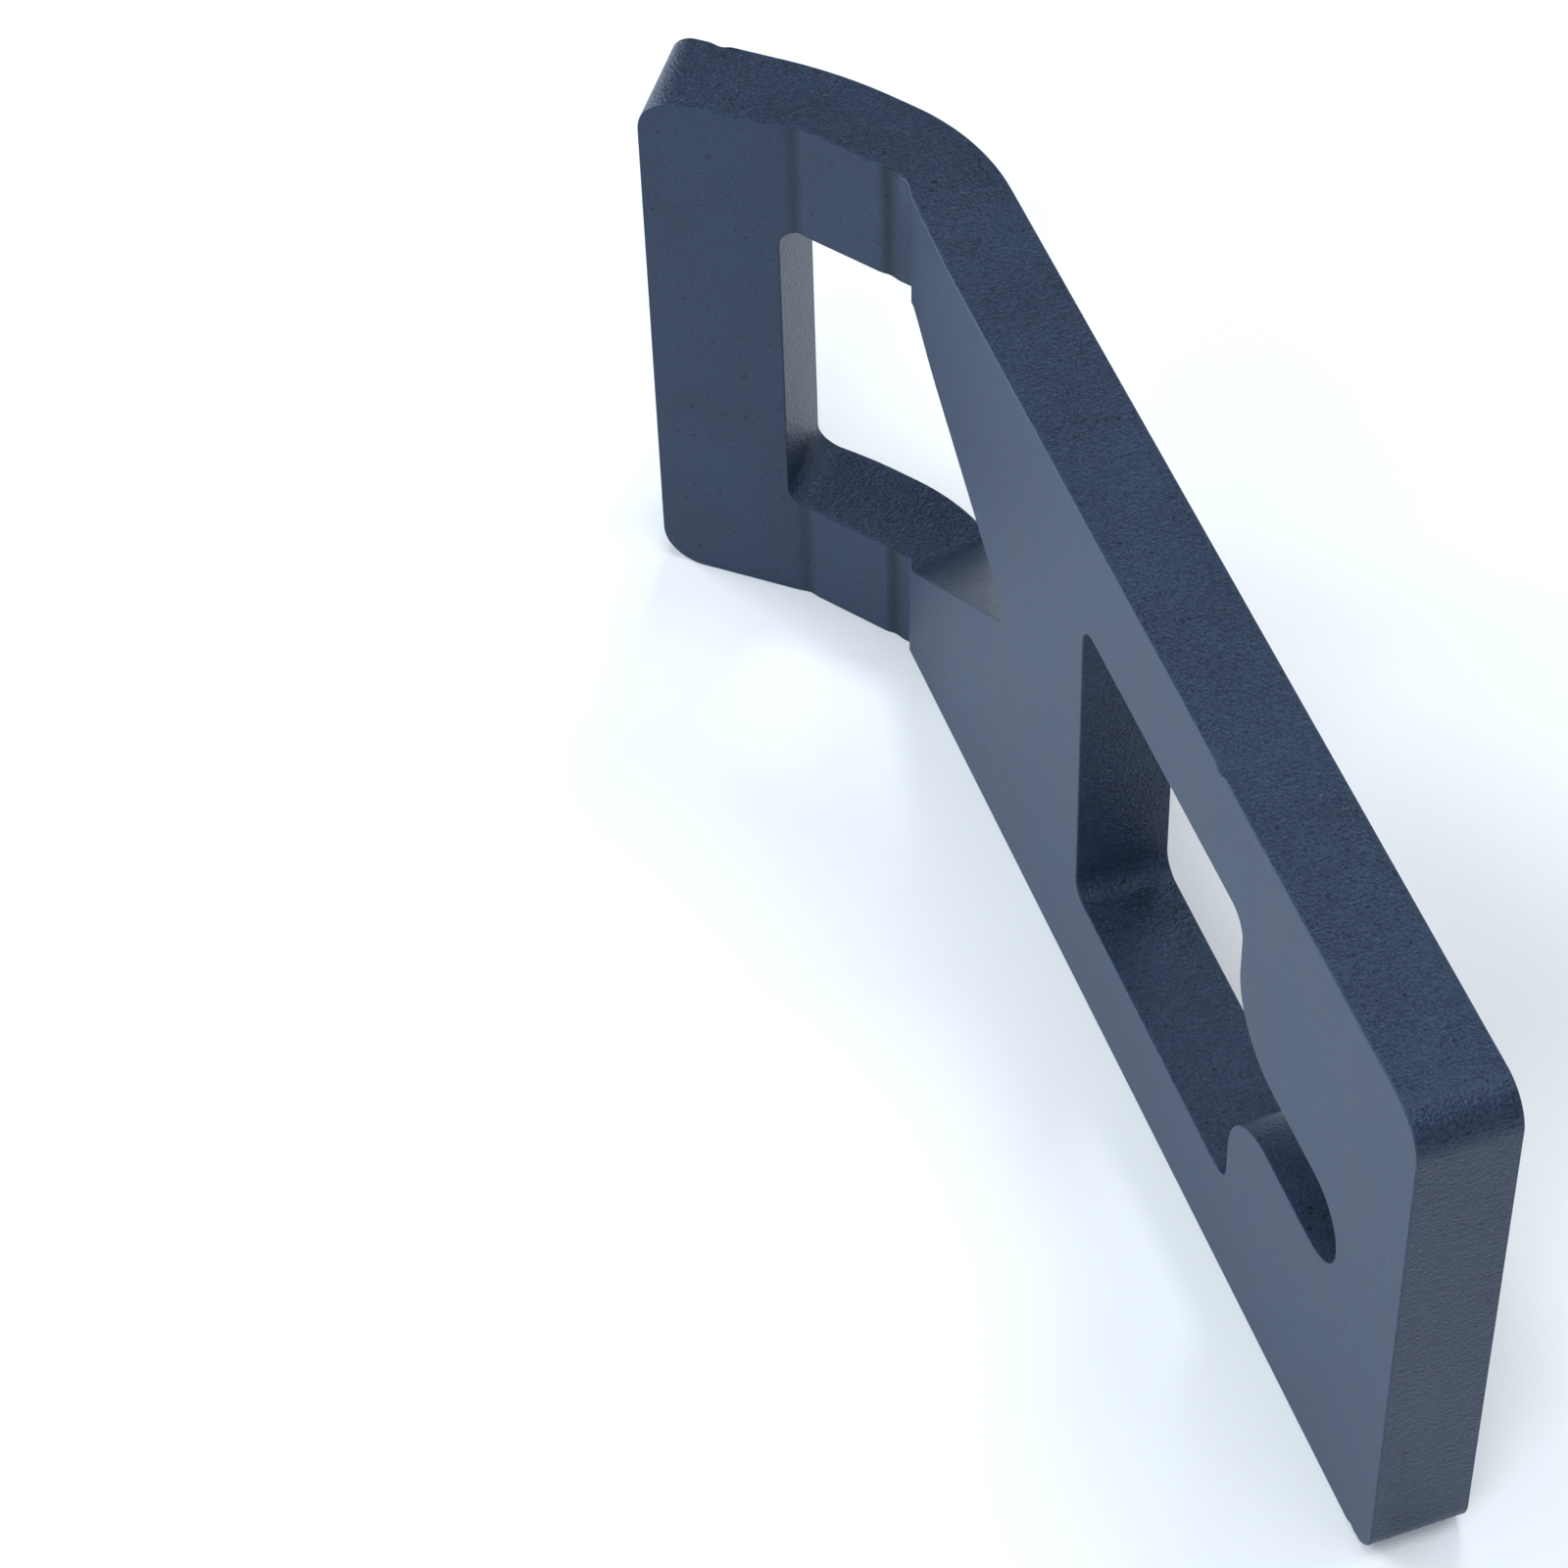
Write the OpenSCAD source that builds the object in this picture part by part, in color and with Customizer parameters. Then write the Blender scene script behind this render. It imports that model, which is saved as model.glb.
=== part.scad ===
// Post puller plate: one thick steel plate, bent twice into a lip.
// The window across the bends goes round a fence post, whose edge bites in its V.
// The square window lets a chain through, and the slot beside it holds one link.
// The plate stands on its long edge. X runs from the lip to the chain end,
// and -Y is the hollow side of the bends.

/* [Plate] */
// Width of the plate, which is its height when it stands on its long edge
plate_width = 82; // [68:1:100]
// Thickness of the plate
plate_thickness = 12; // [9:0.5:15]
// Radius of the two corners at the chain end
chain_end_radius = 5; // [3:0.5:8]
// Radius of the two corners at the end of the lip
lip_end_radius = 5.5; // [3:0.5:8]
// Length of the lip, from the lip bend to its end, on the hollow side
lip_length = 20.5; // [16:0.5:30]

/* [Bends] */
// Angle of the bend between the main plate and the middle flat
main_bend = 35.5; // [25:0.5:43]
// Angle of the bend between the middle flat and the lip
lip_bend = 14; // [8:0.5:18]
// Length of the middle flat between the two bends, on the hollow side
middle_flat = 15; // [12.5:0.5:22]
// Outside radius of the main bend
main_bend_radius = 30; // [20:1:36]
// Outside radius of the lip bend
lip_bend_radius = 60; // [30:1:72]
// Radius of the press tool's nose, which marks a groove inside each bend
tool_radius = 3.5; // [2.5:0.5:5]
// Depth of the groove in the main bend
main_groove_depth = 1; // [0.4:0.1:1.4]
// Depth of the groove in the lip bend
lip_groove_depth = 0.1; // [0.05:0.05:0.5]

/* [Post window] */
// Width of the post window across the plate
post_window_width = 49; // [40:1:58]
// Length of lip between the lip bend and the post window
post_window_setback = 2.5; // [2:0.5:4]
// Radius of the window's two corners in the lip
post_corner_radius = 3; // [1.5:0.5:3.5]
// Distance from the main bend to where the sides of the V start
vee_start = 3; // [2.5:0.5:5]
// Distance from the main bend to where the sides of the V would cross
vee_length = 36; // [30:1:44]
// Radius of the tip of the V
vee_tip_radius = 2.5; // [1:0.5:4]

/* [Chain window and slot] */
// Length of plate between the crossing of the V's sides and the chain window
middle_web = 23; // [18:1:30]
// Length of the chain window along the plate
chain_window_length = 46; // [38:1:56]
// Width of the chain window across the plate
chain_window_width = 49; // [40:1:58]
// Radius of the chain window's corners
chain_corner_radius = 3; // [1.5:0.5:4]
// Width of the slot that holds a link
slot_width = 12.5; // [10:0.5:16]
// Length of the slot, from the chain window's edge to its round end
slot_length = 28; // [23:1:36]
// Radius of the two rounded shoulders where the slot leaves the window
slot_shoulder_radius = 10; // [8:0.5:12]
// Length of plate between the slot's round end and the chain end
chain_end_margin = 15; // [12:1:20]

/* [Hidden] */
// Roundness of every circle
$fn = 128;
// How far a cutting shape runs past the faces that it cuts
past = 3;
// How far the post window's cutter reaches outside the bends
reach = 15;
// How far two cutting shapes run into each other
lap = 1;
// How far a bend's round stands proud where it meets a flat, which leaves a clear edge
proud = 0.02;

lip_angle = main_bend + lip_bend;
chain_window_start = vee_length + middle_web;
chain_window_end = chain_window_start + chain_window_length;
slot_end = chain_window_end + slot_length;
main_length = slot_end + chain_end_margin;

// A point in the flat that is turned by an angle and starts at a corner
function turned(angle, point, from = [0, 0]) =
    from + [point.x * cos(angle) - point.y * sin(angle),
            point.x * sin(angle) + point.y * cos(angle)];

// The corner of the lip bend on the hollow side, and the two outside corners
lip_corner = turned(main_bend, [-middle_flat, 0]);
main_outside_corner = [-plate_thickness * tan(main_bend / 2), plate_thickness];
lip_outside_corner = turned(main_bend,
    [-middle_flat - plate_thickness * tan(lip_bend / 2), plate_thickness]);

// The two ends of the lip's end face, and the middle of the plate's box
lip_end_inside = turned(lip_angle, [-lip_length, 0], lip_corner);
lip_end_outside = turned(lip_angle, [-lip_length, plate_thickness], lip_corner);
middle_x = (main_length + lip_end_outside.x) / 2;
middle_y = (plate_thickness + lip_end_inside.y) / 2;

// The part of a disc beyond a chord that spans twice the half angle
module disc_cap(radius, half_angle) {
    intersection() {
        circle(r = radius);
        translate([radius * cos(half_angle), -radius])
            square([radius, 2 * radius]);
    }
}

// The scrap outside the round of a bend, which starts on a face turned by an angle
module bend_scrap(corner, angle, bend, radius) {
    side = radius * tan(bend / 2);
    centre = turned(angle, [side, -radius], corner);
    difference() {
        polygon([
            centre,
            turned(angle, [side, past], corner),
            turned(angle + bend / 2, [0, past], corner),
            turned(angle + bend, [-side, past], corner)
        ]);
        translate(centre) circle(r = radius + proud);
    }
}

// The groove that the tool leaves inside a bend
module tool_mark(corner, angle, bend, depth) {
    translate(turned(angle + bend / 2, [0, depth - tool_radius], corner))
        circle(r = tool_radius);
}

// The side view of the bent plate
module side_view() {
    difference() {
        polygon([
            [main_length, 0], [main_length, plate_thickness],
            main_outside_corner, lip_outside_corner,
            lip_end_outside, lip_end_inside, lip_corner, [0, 0]
        ]);
        bend_scrap(main_outside_corner, 0, main_bend, main_bend_radius);
        bend_scrap(lip_outside_corner, main_bend, lip_bend, lip_bend_radius);
        tool_mark([0, 0], 0, main_bend, main_groove_depth);
        tool_mark(lip_corner, main_bend, lip_bend, lip_groove_depth);
    }
}

// Cuts an outline, drawn along and across the plate, through a flat of it
module through_flat() {
    translate([0, plate_thickness + past, 0])
        rotate([90, 0, 0])
            linear_extrude(plate_thickness + 2 * past)
                children();
}

// Puts a shape in the lip's place, with its start at the lip bend
module on_lip() {
    translate([lip_corner.x, lip_corner.y, 0])
        rotate([0, 0, lip_angle])
            children();
}

// The scrap outside the two rounded corners of an end that faces +X
module corner_scrap(end, radius) {
    for (side = [-1, 1])
        scale([1, side])
            difference() {
                translate([end - radius, plate_width / 2 - radius])
                    square(radius + past);
                translate([end - radius, plate_width / 2 - radius])
                    circle(r = radius);
            }
}

// The post window where it crosses the bends
module post_window_bends() {
    start = post_corner_radius - post_window_setback;
    linear_extrude(post_window_width, center = true)
        polygon([
            turned(lip_angle, [start, -past], lip_corner),
            [vee_start, -past],
            [vee_start, plate_thickness + reach],
            turned(lip_angle, [start, plate_thickness + reach], lip_corner)
        ]);
}

// The rounded end of the post window in the lip
module post_window_in_lip() {
    half = post_window_width / 2;
    r = post_corner_radius;
    translate([-post_window_setback, 0]) {
        translate([0, r - half]) square([r + lap, 2 * (half - r)]);
        translate([r, -half]) square([lap, 2 * half]);
        for (side = [-1, 1])
            translate([r, side * (half - r)]) circle(r = r);
    }
}

// The V of the post window, with its rounded tip
module post_window_vee() {
    half = post_window_width / 2;
    half_angle = atan(half / (vee_length - vee_start));
    centre = vee_length - vee_tip_radius / sin(half_angle);
    tip = centre + vee_tip_radius * sin(half_angle);
    tip_half = vee_tip_radius * cos(half_angle);
    polygon([
        [vee_start - lap, -half], [vee_start, -half], [tip, -tip_half],
        [tip, tip_half], [vee_start, half], [vee_start - lap, half]
    ]);
    translate([centre, 0]) disc_cap(vee_tip_radius, 90 - half_angle);
}

// The chain window, with four rounded corners
module chain_window() {
    half = chain_window_width / 2;
    r = chain_corner_radius;
    translate([chain_window_start, 0]) {
        translate([r, -half]) square([chain_window_length - 2 * r, 2 * half]);
        translate([0, r - half]) square([chain_window_length, 2 * (half - r)]);
        for (side = [-1, 1], x = [r, chain_window_length - r])
            translate([x, side * (half - r)]) circle(r = r);
    }
}

// The slot that holds a link, with its round end and its rounded shoulders
module chain_slot() {
    half = slot_width / 2;
    shoulder = slot_shoulder_radius;
    translate([chain_window_end, 0]) {
        translate([-lap, -half]) square([slot_length - half + lap, 2 * half]);
        translate([slot_length - half, 0]) disc_cap(half, 90);
        difference() {
            translate([-lap, -half - shoulder])
                square([shoulder + lap, 2 * (half + shoulder)]);
            for (side = [-1, 1])
                translate([shoulder, side * (half + shoulder)]) circle(r = shoulder);
        }
    }
}

// The whole plate, bent, cut and rounded
module hook_plate() {
    color([0.20, 0.24, 0.31])
        translate([-middle_x, -middle_y, plate_width / 2])
            difference() {
                linear_extrude(plate_width, center = true) side_view();
                through_flat() corner_scrap(main_length, chain_end_radius);
                on_lip() mirror([1, 0, 0]) through_flat() corner_scrap(lip_length, lip_end_radius);
                on_lip() through_flat() post_window_in_lip();
                post_window_bends();
                through_flat() post_window_vee();
                through_flat() chain_window();
                through_flat() chain_slot();
            }
}

hook_plate();
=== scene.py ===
"""The looks of a post puller plate: one thick powder-coated steel plate, bent twice.

The plate is cut flat, its cut edges are eased, and it is then pressed over two bends,
as the real one is made. Lengths are in metres. Flat, the plate runs along X from the
main bend's inner corner, Y goes through its thickness from the hollow side, and Z goes
across it from its middle line.
"""

import math

import bmesh
import bpy
from mathutils import Matrix, Vector, noise


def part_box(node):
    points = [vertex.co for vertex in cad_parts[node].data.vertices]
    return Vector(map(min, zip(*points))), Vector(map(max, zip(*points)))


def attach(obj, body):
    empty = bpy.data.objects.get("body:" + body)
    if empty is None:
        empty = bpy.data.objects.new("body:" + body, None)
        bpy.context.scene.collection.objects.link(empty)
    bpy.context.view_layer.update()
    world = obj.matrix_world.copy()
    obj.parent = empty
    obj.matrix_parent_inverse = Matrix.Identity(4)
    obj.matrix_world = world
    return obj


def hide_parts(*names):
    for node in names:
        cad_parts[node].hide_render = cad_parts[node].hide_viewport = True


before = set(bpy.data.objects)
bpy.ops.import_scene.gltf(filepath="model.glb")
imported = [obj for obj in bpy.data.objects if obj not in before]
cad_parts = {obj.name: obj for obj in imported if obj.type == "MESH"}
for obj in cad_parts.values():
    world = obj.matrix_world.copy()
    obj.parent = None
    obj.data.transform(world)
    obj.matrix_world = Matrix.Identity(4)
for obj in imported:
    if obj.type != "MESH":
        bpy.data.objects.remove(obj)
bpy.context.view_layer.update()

MM = 0.001

# The plate, as the CAD part has it
low, high = [Vector(corner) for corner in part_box("hook_plate")]
HALF_WIDTH = (high.z - low.z) / 2
THICKNESS = 12 * MM
MAIN_LENGTH = 148 * MM
MIDDLE_FLAT = 15 * MM
LIP_LENGTH = 20.5 * MM
MAIN_BEND = math.radians(35.5)
LIP_BEND = math.radians(14)
MAIN_BEND_RADIUS = 30 * MM
LIP_BEND_RADIUS = 60 * MM
LIP_CORNER_RADIUS = 5.5 * MM
CHAIN_END_RADIUS = 5 * MM

# The press tool's marks inside the bends. The main one runs a little askew: it is
# deeper and reaches further along the plate towards the top edge.
MAIN_MARK_REACH = 2.4 * MM
MAIN_MARK_SKEW = 0.03
MAIN_MARK_WALL = 0.45
# How much of the mark is lost at the top edge, and how far in from it
MAIN_MARK_LOSS = 0.65
MAIN_MARK_LOSS_WIDTH = 8 * MM
BAND_LENGTH = 2.9 * MM
BAND_DEPTH = 0.22 * MM
LIP_MARK_HALF = 1.3 * MM
LIP_MARK_DEPTH = 0.12 * MM
# The metal that the bends squeeze out of the top edge, on the hollow side
SQUEEZE = 1.3 * MM
# Where along the plate the swelling rises and falls, and how far in from the edge it starts
SQUEEZE_RISE = (-24 * MM, -9 * MM)
SQUEEZE_FALL = (2 * MM, 17 * MM)
SQUEEZE_WIDTH = 7 * MM
RIPPLE = 0.25
RIPPLE_SIZE = 1.7 * MM

# The openings
WINDOW_HALF = 24.5 * MM
POST_SETBACK = 2.5 * MM
LIP_WALL_LEAN = 0.9 * MM
VEE_START = 3 * MM
VEE_LENGTH = 36 * MM
VEE_TIP_RADIUS = 2.5 * MM
CHAIN_WINDOW = (59 * MM, 105 * MM)
SLOT_HALF = 6.25 * MM
SLOT_END = 133 * MM
WINDOW_CORNER_RADIUS = 3 * MM
VEE_START_RADIUS = 1.5 * MM
SHOULDER_RADIUS = 10 * MM

# How the cut edges are rounded
EDGE_EASE = 0.2 * MM
# How much smaller the lip's corners are on the back than on the hollow side
LIP_CORNER_TAPER = 0.4

# Small flaws of the cut edges: where each one lies on the flat plate in millimetres, its
# radius and its depth in millimetres. A burr has a depth below nothing.
FLAWS = (
    ((97, 0, 41), 1.3, 0.5),
    ((143.2, 0, -41), 1.3, 0.6),
    ((144.6, 0, -40.5), 0.9, 0.35),
    ((-29, 12, 41), 1.5, -0.35),
)


# Points closer than this are one point, and what a cut or a test may be out by
WELD = 0.001 * MM
SLACK = 0.01 * MM
# How far apart the cuts across the skin are, on the flats, in the bends and at a flaw
FLAT_STEP = 3 * MM
BEND_STEP = 0.4 * MM
# How far in from the long edges and from the openings' sides the skin is cut lengthwise
EDGE_CUTS = (0.8, 1.6, 2.5, 3.5, 5, 7, 10)
WINDOW_CUTS = (4, 8, 12, 16, 20)

# The studio's floor and wall, in metres
STUDIO_RADIUS = 3
COOL_LIGHT = (0.89, 0.95, 1.0)
COOLER_LIGHT = (0.80, 0.91, 1.0)


def round_corner(mesh, corner, radius, steps):
    """Rounds one corner of the outline with an arc."""
    before, after = [edge.other_vert(corner).co - corner.co for edge in corner.link_edges]
    turn = math.pi - before.angle(after)
    bmesh.ops.bevel(mesh, geom=[corner], offset=radius * math.tan(turn / 2),
                    offset_type="OFFSET", segments=steps, profile=0.5,
                    affect="VERTICES", material=-1, clamp_overlap=False)


def flat_half(mesh):
    """The upper half of the plate's outline, cut from flat sheet, with rounded corners."""
    lip_end = -MIDDLE_FLAT - LIP_LENGTH
    lip_wall = -MIDDLE_FLAT - POST_SETBACK
    slope = WINDOW_HALF / (VEE_LENGTH - VEE_START)
    half_angle = math.atan(slope)
    tip = VEE_LENGTH - VEE_TIP_RADIUS / math.sin(half_angle) + VEE_TIP_RADIUS
    corners = [
        (lip_end, 0, 0, 0),
        (lip_end, HALF_WIDTH, LIP_CORNER_RADIUS, 12),
        (MAIN_LENGTH, HALF_WIDTH, CHAIN_END_RADIUS, 12),
        (MAIN_LENGTH, 0, 0, 0),
        (SLOT_END, 0, 0, 0),
        (SLOT_END, SLOT_HALF, SLOT_HALF, 16),
        (CHAIN_WINDOW[1], SLOT_HALF, SHOULDER_RADIUS, 18),
        (CHAIN_WINDOW[1], WINDOW_HALF, WINDOW_CORNER_RADIUS, 9),
        (CHAIN_WINDOW[0], WINDOW_HALF, WINDOW_CORNER_RADIUS, 9),
        (CHAIN_WINDOW[0], 0, 0, 0),
        (tip, 0, 0, 0),
        (tip, (VEE_LENGTH - tip) * slope, VEE_TIP_RADIUS, 8),
        (VEE_START, WINDOW_HALF, VEE_START_RADIUS, 4),
        (lip_wall, WINDOW_HALF, WINDOW_CORNER_RADIUS, 9),
        (lip_wall, 0, 0, 0),
    ]
    points = [mesh.verts.new((x, 0, z)) for x, z, _, _ in corners]
    mesh.faces.new(points)
    for point, (_, _, radius, steps) in zip(points, corners):
        if radius:
            round_corner(mesh, point, radius, steps)
    bmesh.ops.remove_doubles(mesh, verts=mesh.verts, dist=WELD)


def cut_lines(mesh, axis, places):
    """Cuts the whole skin of the plate at places along one axis."""
    normal = Vector([float(index == axis) for index in range(3)])
    for place in places:
        bmesh.ops.bisect_plane(mesh, geom=mesh.verts[:] + mesh.edges[:] + mesh.faces[:],
                               dist=0.0005 * MM, plane_co=normal * place, plane_no=normal)


def spaced(start, end, step):
    """Places from start to end, evenly spaced about a step apart."""
    count = max(1, round((end - start) / step))
    return [start + (end - start) * index / count for index in range(count + 1)]


def flat_plate():
    """The flat plate before it is pressed, with all its cut edges eased."""
    mesh = bmesh.new()
    flat_half(mesh)
    bmesh.ops.mirror(mesh, geom=mesh.faces[:] + mesh.edges[:] + mesh.verts[:],
                     matrix=Matrix.Identity(4), merge_dist=WELD, axis="Z")
    sheet = bmesh.ops.extrude_face_region(mesh, geom=mesh.faces[:])
    lifted = [item for item in sheet["geom"] if isinstance(item, bmesh.types.BMVert)]
    bmesh.ops.translate(mesh, verts=lifted, vec=(0, THICKNESS, 0))
    wall_start = -MIDDLE_FLAT - POST_SETBACK
    lip_wall = [vert for vert in lifted if abs(vert.co.z) < WINDOW_HALF - SLACK
                and wall_start <= vert.co.x + SLACK < -MIDDLE_FLAT + 1 * MM]
    bmesh.ops.translate(mesh, verts=lip_wall, vec=(-LIP_WALL_LEAN, 0, 0))
    for vert in lifted:
        for side in (-1, 1):
            corner = Vector((-MIDDLE_FLAT - LIP_LENGTH, THICKNESS, side * HALF_WIDTH))
            if (vert.co - corner).length < LIP_CORNER_RADIUS + 0.1 * MM:
                vert.co = vert.co.lerp(corner, LIP_CORNER_TAPER)
    bmesh.ops.recalc_face_normals(mesh, faces=mesh.faces)
    rims = [edge for edge in mesh.edges if edge.calc_face_angle() > math.radians(80)]
    bmesh.ops.bevel(mesh, geom=rims, offset=EDGE_EASE, offset_type="OFFSET", segments=4,
                    profile=0.5, affect="EDGES", material=-1, clamp_overlap=False)
    return mesh


def bend_reach(angle, outside_radius):
    """How far a bend's round reaches to each side of its inner corner."""
    return (outside_radius - THICKNESS) * math.tan(angle / 2)


def press_bend(mesh, corner, angle, outside_radius):
    """Presses the plate past a corner on its hollow side, with a round outside."""
    inside_radius = outside_radius - THICKNESS
    reach = bend_reach(angle, outside_radius)
    for vert in mesh.verts:
        along = vert.co.x - corner
        if along >= reach:
            continue
        if along <= -reach:
            turned = Matrix.Rotation(angle, 3, "Z") @ Vector((along, vert.co.y, 0))
            vert.co.x, vert.co.y = corner + turned.x, turned.y
            continue
        swing = math.atan((reach - abs(along)) / inside_radius)
        inside = inside_radius / math.cos(swing)
        out = inside + (outside_radius - inside) * vert.co.y / THICKNESS
        swing = swing if along > 0 else angle - swing
        vert.co.x = corner + reach - out * math.sin(swing)
        vert.co.y = out * math.cos(swing) - inside_radius


def smooth(value, start, end):
    """Goes smoothly from 0 at start to 1 at end."""
    share = min(1, max(0, (value - start) / (end - start)))
    return share * share * (3 - 2 * share)


def mark_reach(across):
    """How far the main mark reaches along the plate at a height across it."""
    return MAIN_MARK_REACH + MAIN_MARK_SKEW * (across + WINDOW_HALF)


def lean_with_mark(mesh):
    """Leans the cut lines near the main bend, so that they run along the tool's mark."""
    for vert in mesh.verts:
        x, _, z = vert.co
        share = smooth(x, -9 * MM, -3 * MM) * (1 - smooth(x, 3 * MM, 12 * MM))
        vert.co.x += share * MAIN_MARK_SKEW * (z + WINDOW_HALF)


def squeezed_edge(mesh, flat_places):
    """Swells the top edge beside the bends, where pressing squeezes metal out of it."""
    for vert in mesh.verts:
        along, through, across = vert[flat_places]
        share = smooth(along, *SQUEEZE_RISE) * (1 - smooth(along, *SQUEEZE_FALL))
        share *= max(0, 1 - through / THICKNESS) ** 1.3
        share *= smooth(across, HALF_WIDTH - SQUEEZE_WIDTH, HALF_WIDTH)
        ripple = 1 + RIPPLE * noise.noise(Vector((along, through, across)) / RIPPLE_SIZE)
        vert.co.z += SQUEEZE * share * ripple


def flaw_edges(mesh, flat_places):
    """Dents the cut edges, or raises a burr on them, at the small flaws."""
    for centre, radius, depth in FLAWS:
        centre = Vector(centre) * MM
        for vert in mesh.verts:
            share = 1 - (vert[flat_places] - centre).length / (radius * MM)
            if share > 0:
                vert.co.z -= math.copysign(depth * MM * smooth(share, 0, 1), centre.z)


def tool_marks(mesh, flat_places):
    """Presses the tool's marks into the hollow side of the bends."""
    main_turn = Vector((-math.sin(MAIN_BEND), math.cos(MAIN_BEND), 0))
    half_turn = MAIN_BEND + LIP_BEND / 2
    lip_turn = Vector((-math.sin(half_turn), math.cos(half_turn), 0))
    for vert in mesh.verts:
        along, through, across = vert[flat_places]
        fade = (1 - through / THICKNESS) ** 2
        far_end = mark_reach(across)
        if 0 < along < far_end:
            flank = math.tan(MAIN_BEND) * along
            wall = MAIN_MARK_WALL * (far_end - along)
            loss_start = HALF_WIDTH - MAIN_MARK_LOSS_WIDTH
            shallow = 1 - MAIN_MARK_LOSS * smooth(across, loss_start, HALF_WIDTH)
            vert.co.y += fade * shallow * min(flank, wall)
        band = smooth(along, -BAND_LENGTH, -0.55 * BAND_LENGTH)
        band -= smooth(along, -0.5 * BAND_LENGTH, 0)
        if band > 0:
            vert.co += main_turn * (fade * BAND_DEPTH * band)
        from_lip = abs(along + MIDDLE_FLAT) / LIP_MARK_HALF
        if from_lip < 1:
            vert.co += lip_turn * (fade * LIP_MARK_DEPTH * (1 - from_lip ** 2))


def note_flat_places(mesh):
    """Keeps where each point lies in the flat plate, for the finish to follow the metal."""
    flat_places = mesh.verts.layers.float_vector.new("flat_place")
    for vert in mesh.verts:
        vert[flat_places] = vert.co
    return flat_places


def plate_mesh():
    """The pressed plate, in its place in the frame."""
    mesh = flat_plate()
    main_reach = bend_reach(MAIN_BEND, MAIN_BEND_RADIUS)
    lip_reach = bend_reach(LIP_BEND, LIP_BEND_RADIUS)
    lip_start = -MIDDLE_FLAT - lip_reach
    cut_lines(mesh, 0, spaced(-MIDDLE_FLAT - LIP_LENGTH, lip_start, FLAT_STEP)[1:-1])
    cut_lines(mesh, 0, spaced(lip_start, -MIDDLE_FLAT + lip_reach, BEND_STEP))
    cut_lines(mesh, 0, spaced(-MIDDLE_FLAT + lip_reach, -main_reach, 1 * MM)[1:-1])
    cut_lines(mesh, 0, spaced(-main_reach, 0, 0.3 * MM))
    cut_lines(mesh, 0, spaced(0, MAIN_MARK_REACH, 0.2 * MM)[1:])
    cut_lines(mesh, 0, spaced(MAIN_MARK_REACH, main_reach, BEND_STEP)[1:])
    cut_lines(mesh, 0, spaced(main_reach, MAIN_LENGTH, FLAT_STEP)[1:-1])
    cut_lines(mesh, 1, spaced(0, THICKNESS, 1.5 * MM)[1:-1])
    for side in (-1, 1):
        cut_lines(mesh, 2, [side * (HALF_WIDTH - depth * MM) for depth in EDGE_CUTS])
        cut_lines(mesh, 2, [side * (WINDOW_HALF - depth * MM) for depth in WINDOW_CUTS])
    for centre, radius, _ in FLAWS:
        start = (centre[0] - radius) * MM
        cut_lines(mesh, 0, spaced(start, start + 2 * radius * MM, BEND_STEP))
    bmesh.ops.dissolve_degenerate(mesh, dist=0.015 * MM, edges=mesh.edges[:])
    lean_with_mark(mesh)
    flat_places = note_flat_places(mesh)
    press_bend(mesh, -MIDDLE_FLAT, LIP_BEND, LIP_BEND_RADIUS)
    press_bend(mesh, 0, MAIN_BEND, MAIN_BEND_RADIUS)
    tool_marks(mesh, flat_places)
    squeezed_edge(mesh, flat_places)
    flaw_edges(mesh, flat_places)
    place = (high.x - MAIN_LENGTH, high.y - THICKNESS, (low.z + high.z) / 2)
    bmesh.ops.translate(mesh, verts=mesh.verts, vec=place)
    bmesh.ops.recalc_face_normals(mesh, faces=mesh.faces)
    return mesh


def hook_plate(finish):
    """The post puller plate itself."""
    mesh = plate_mesh()
    for face in mesh.faces:
        face.smooth = True
    data = bpy.data.meshes.new("puller_plate")
    mesh.to_mesh(data)
    mesh.free()
    piece = bpy.data.objects.new("puller_plate", data)
    bpy.context.scene.collection.objects.link(piece)
    piece.data.materials.append(finish)
    keep = piece.modifiers.new("even_shading", "WEIGHTED_NORMAL")
    keep.keep_sharp = True
    keep.weight = 50
    return piece


class Term:
    """A socket of a finish, which adds Math nodes when it is used in a sum."""

    def __init__(self, finish, socket):
        self.finish = finish
        self.socket = socket

    def math(self, operation, *terms):
        """Joins terms or numbers with one Math node."""
        return self.finish.node("Math", {"operation": operation}, terms)

    def __add__(self, other):
        return self.math("ADD", self, other)

    def __sub__(self, other):
        return self.math("SUBTRACT", self, other)

    def __rsub__(self, other):
        return self.math("SUBTRACT", other, self)

    def __mul__(self, other):
        return self.math("MULTIPLY", self, other)

    __radd__ = __add__
    __rmul__ = __mul__

    def absolute(self):
        return self.math("ABSOLUTE", self)

    def lower(self, other):
        return self.math("MINIMUM", self, other)

    def higher(self, other):
        return self.math("MAXIMUM", self, other)

    def fade(self, start, end):
        """Goes smoothly from 0 at start to 1 at end."""
        return self.finish.node("MapRange", {"interpolation_type": "SMOOTHSTEP"},
                                [self, start, end, 0.0, 1.0])


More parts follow.
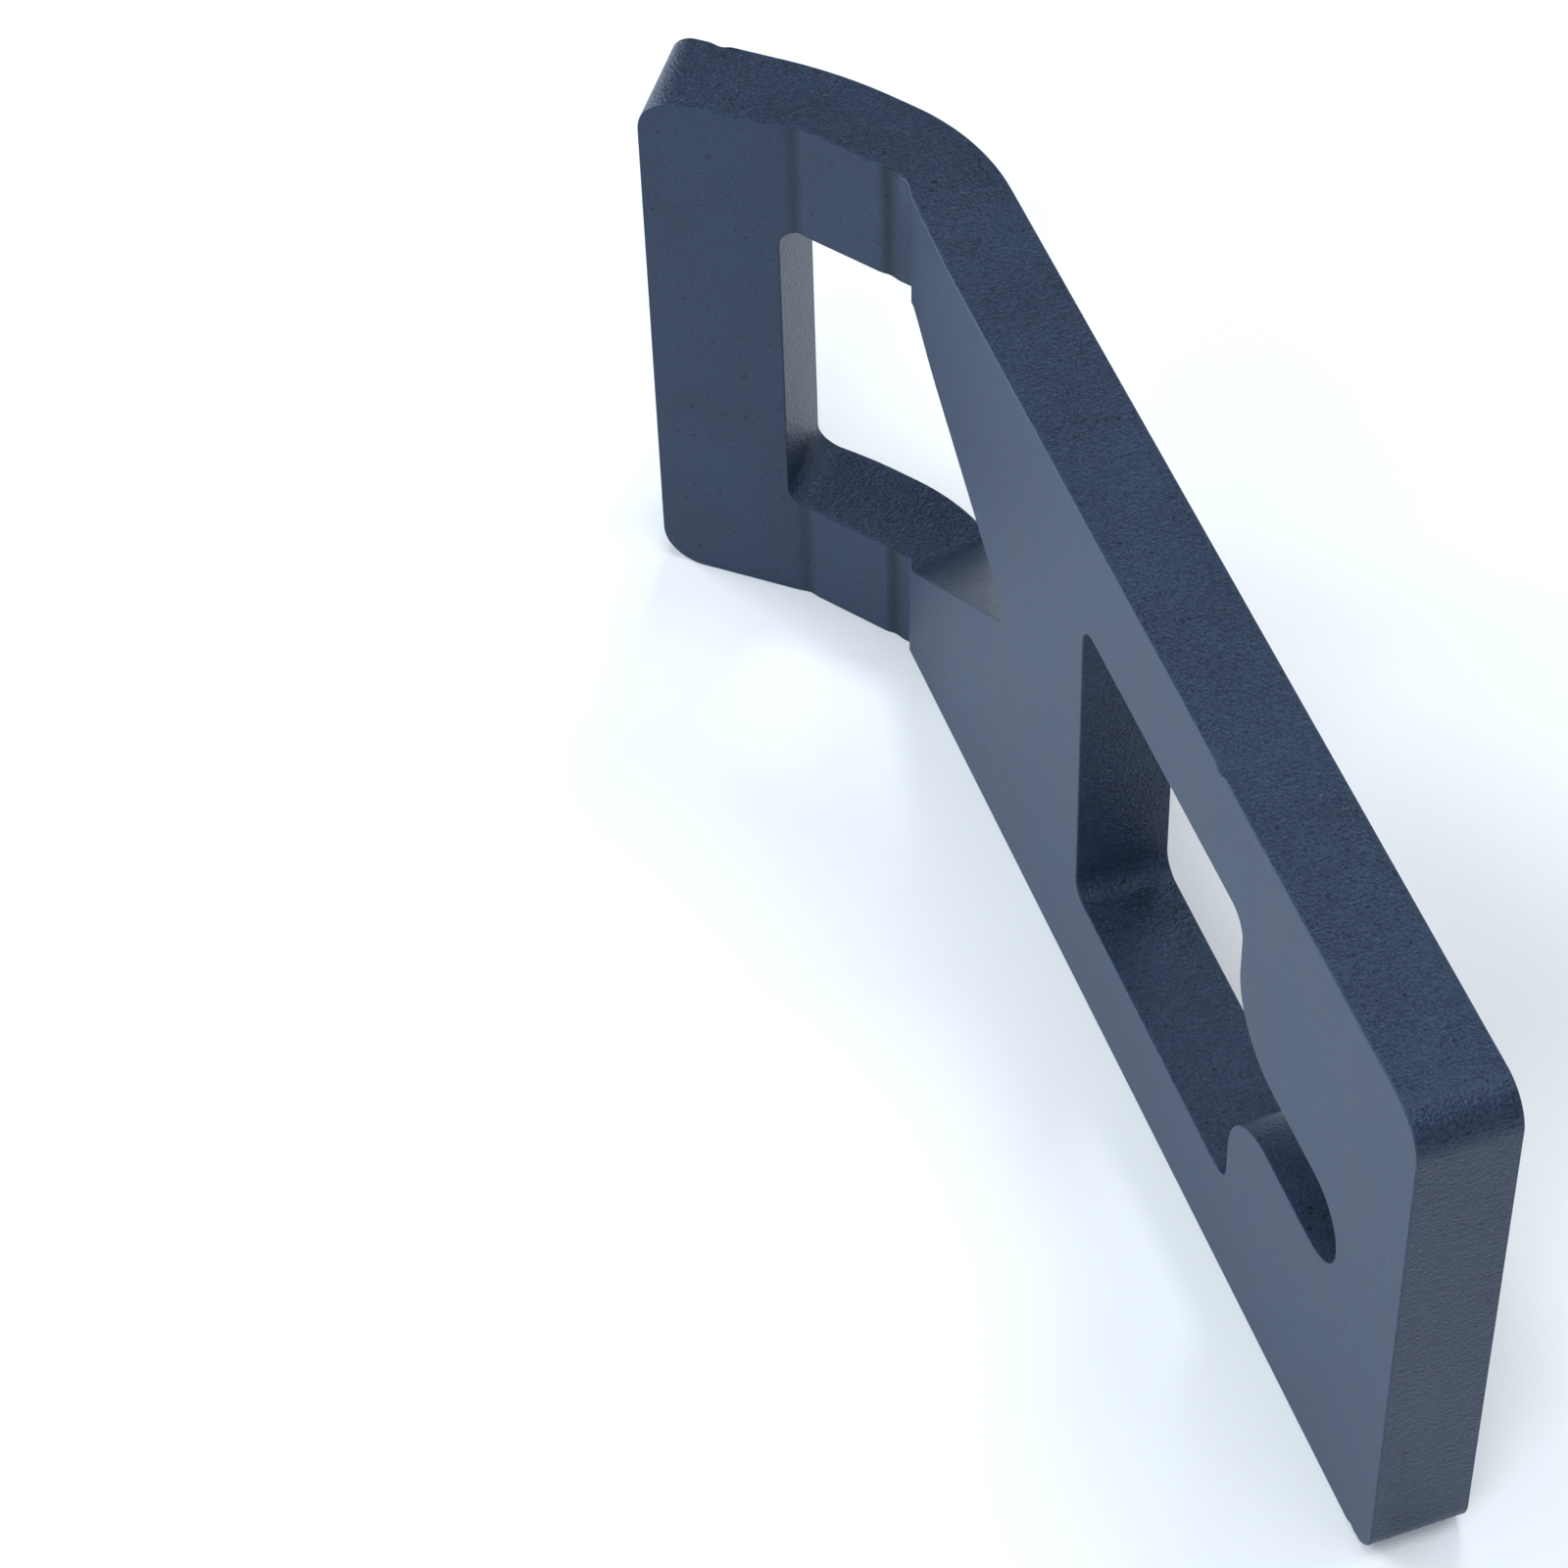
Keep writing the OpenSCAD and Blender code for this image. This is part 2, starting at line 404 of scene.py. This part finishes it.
class Finish:
    """A node material."""

    def __init__(self, name):
        self.material = bpy.data.materials.new(name)
        self.material.use_nodes = True
        self.tree = self.material.node_tree
        self.tree.nodes.clear()

    def node(self, kind, settings=None, values=(), output=0):
        """Adds a node, with its settings first and then its sockets' values or links."""
        node = self.tree.nodes.new("ShaderNode" + kind)
        for name, setting in (settings or {}).items():
            setattr(node, name, setting)
        pairs = values.items() if isinstance(values, dict) else enumerate(values)
        for name, value in pairs:
            if isinstance(value, Term):
                self.tree.links.new(value.socket, node.inputs[name])
            elif value is not None:
                node.inputs[name].default_value = value
        return Term(self, node.outputs[output]) if node.outputs else None

    def split(self, vector):
        """The three parts of a vector."""
        parts = self.node("SeparateXYZ", values=[vector])
        return [Term(self, socket) for socket in parts.socket.node.outputs]


def powder_coat():
    """Dark blue-grey powder coat: fine on the rolled faces, coarser on the cut walls."""
    finish = Finish("powder_coated_steel")
    node = finish.node
    place = node("Attribute", {"attribute_name": "flat_place"}, output="Vector")
    along, through, across = finish.split(place)
    depth = through.lower(THICKNESS - through)
    wall = depth.fade(0.1 * MM, 0.45 * MM)

    def speckle(scale, detail, roughness, stretch=(1, 1, 1)):
        where = node("Mapping", values={"Vector": place, "Scale": stretch})
        values = {"Vector": where, "Scale": scale, "Detail": detail, "Roughness": roughness}
        return node("TexNoise", {"noise_dimensions": "3D"}, values) - 0.5

    grain = speckle(2300.0, 3.0, 0.8)
    peel = speckle(2700.0, 1.0, 0.5)
    drag = speckle(1700.0, 2.0, 0.6, (1, 0.15, 1))
    cloud = speckle(70.0, 4.0, 0.6)
    pits = speckle(900.0, 1.0, 0.5).fade(0.18, 0.24)

    height = grain * 0.4 + wall * (peel * 1.5 + drag * 0.7) - pits * 0.15
    bump = node("Bump", values={"Strength": 0.55, "Distance": 0.25 * MM, "Height": height})

    # Painted shade: the hollow face is darkened in a band just before the main bend's mark and
    # over the lip bend's mark, where the tilted metal falls into shade
    painted_bend_shade = (along + 1.3 * MM).absolute().fade(1.7 * MM, 0.2 * MM) * 0.34
    painted_bend_shade = painted_bend_shade.higher((along + MIDDLE_FLAT).absolute().fade(1.6 * MM, 0.2 * MM) * 0.16)
    painted_bend_shade = painted_bend_shade * (1 - wall) * through.fade(3 * MM, 0.2 * MM)
    shade = grain * 0.9 + wall * peel * 0.5 + cloud * 0.3 - pits * 0.25 - painted_bend_shade
    shade = shade - wall * 0.12 + 0.5
    colour = node("Mix", {"data_type": "RGBA", "clamp_factor": True},
                  {"Factor": shade, 6: (0.004, 0.007, 0.013, 1), 7: (0.046, 0.070, 0.134, 1)},
                  output=2)
    rough = 0.48 + cloud * 0.12 + grain * 0.1 - wall * 0.14
    skin = node("BsdfPrincipled", values={
        "Base Color": colour, "Roughness": rough, "Metallic": 0.2,
        "Specular IOR Level": 0.31, "Specular Tint": (0.78, 0.86, 1.0, 1), "Normal": bump})
    node("OutputMaterial", values=[skin])
    return finish.material


def camera():
    """The camera, high in front of the hollow side near the chain end."""
    data = bpy.data.cameras.new("camera")
    data.sensor_width = 36
    data.lens = 114.05
    data.clip_start = 0.01
    piece = bpy.data.objects.new("camera", data)
    piece.location = (0.34562, -0.14116, 0.48863)
    piece.rotation_euler = [math.radians(turn) for turn in (39.598, 1.543, 70.233)]
    bpy.context.scene.collection.objects.link(piece)
    bpy.context.scene.camera = piece


def soft_light(name, place, aim, size, power, colour):
    """A square light at a place, aimed at another."""
    data = bpy.data.lights.new(name, "AREA")
    data.shape = "SQUARE"
    data.size = size
    data.energy = power
    data.color = colour
    light = bpy.data.objects.new(name, data)
    light.location = place
    light.rotation_euler = (Vector(aim) - Vector(place)).to_track_quat("-Z", "Y").to_euler()
    bpy.context.scene.collection.objects.link(light)


def studio():
    """A pale round floor that curves up into a wall, and soft light."""
    mesh = bmesh.new()
    bmesh.ops.create_cone(mesh, cap_ends=True, segments=96, radius1=STUDIO_RADIUS,
                          radius2=STUDIO_RADIUS, depth=STUDIO_RADIUS)
    lid = [face for face in mesh.faces if all(vert.co.z > 0 for vert in face.verts)]
    bmesh.ops.delete(mesh, geom=lid, context="FACES_ONLY")
    rim = [edge for edge in mesh.edges if all(vert.co.z < 0 for vert in edge.verts)]
    bmesh.ops.bevel(mesh, geom=rim, offset=STUDIO_RADIUS / 3, offset_type="OFFSET", segments=12,
                    profile=0.5, affect="EDGES", material=-1)
    bmesh.ops.translate(mesh, verts=mesh.verts, vec=(0, 0, STUDIO_RADIUS / 2))
    for face in mesh.faces:
        face.smooth = True
    data = bpy.data.meshes.new("floor")
    mesh.to_mesh(data)
    mesh.free()
    floor = bpy.data.objects.new("floor", data)
    bpy.context.scene.collection.objects.link(floor)
    finish = Finish("pale_floor")
    skin = finish.node("BsdfPrincipled", values={
        "Base Color": (0.85, 0.85, 0.85, 1), "Roughness": 0.9, "Specular IOR Level": 0.0})
    finish.node("OutputMaterial", values=[skin])
    floor.data.materials.append(finish.material)

    world = bpy.data.worlds.new("studio")
    world.use_nodes = True
    back = world.node_tree.nodes["Background"]
    back.inputs["Color"].default_value = (0.75, 0.85, 1.0, 1)
    back.inputs["Strength"].default_value = 0.02
    bpy.context.scene.world = world
    soft_light("hollow_side", (-0.99, -0.99, 0.45), (0, 0, 0.04), 0.8, 26, COOL_LIGHT)
    soft_light("back_side", (0, 1.1, 1.0), (0, 0, 0.04), 0.8, 4.5, COOL_LIGHT)
    soft_light("chain_end", (0.85, -0.7, 0.9), (0.05, 0, 0.04), 0.8, 10.0, COOLER_LIGHT)
    soft_light("overhead", (0.3, 0, 1.5), (0, 0, 0), 0.7, 10, COOL_LIGHT)
    soft_light("sheen", (-0.63, 0.48, 1.44), (0.09, 0, 0.08), 0.35, 6.2, COOL_LIGHT)
    bpy.context.scene.view_settings.view_transform = "Standard"


camera()
studio()
plate = hook_plate(powder_coat())
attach(plate, "root")
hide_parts("hook_plate")
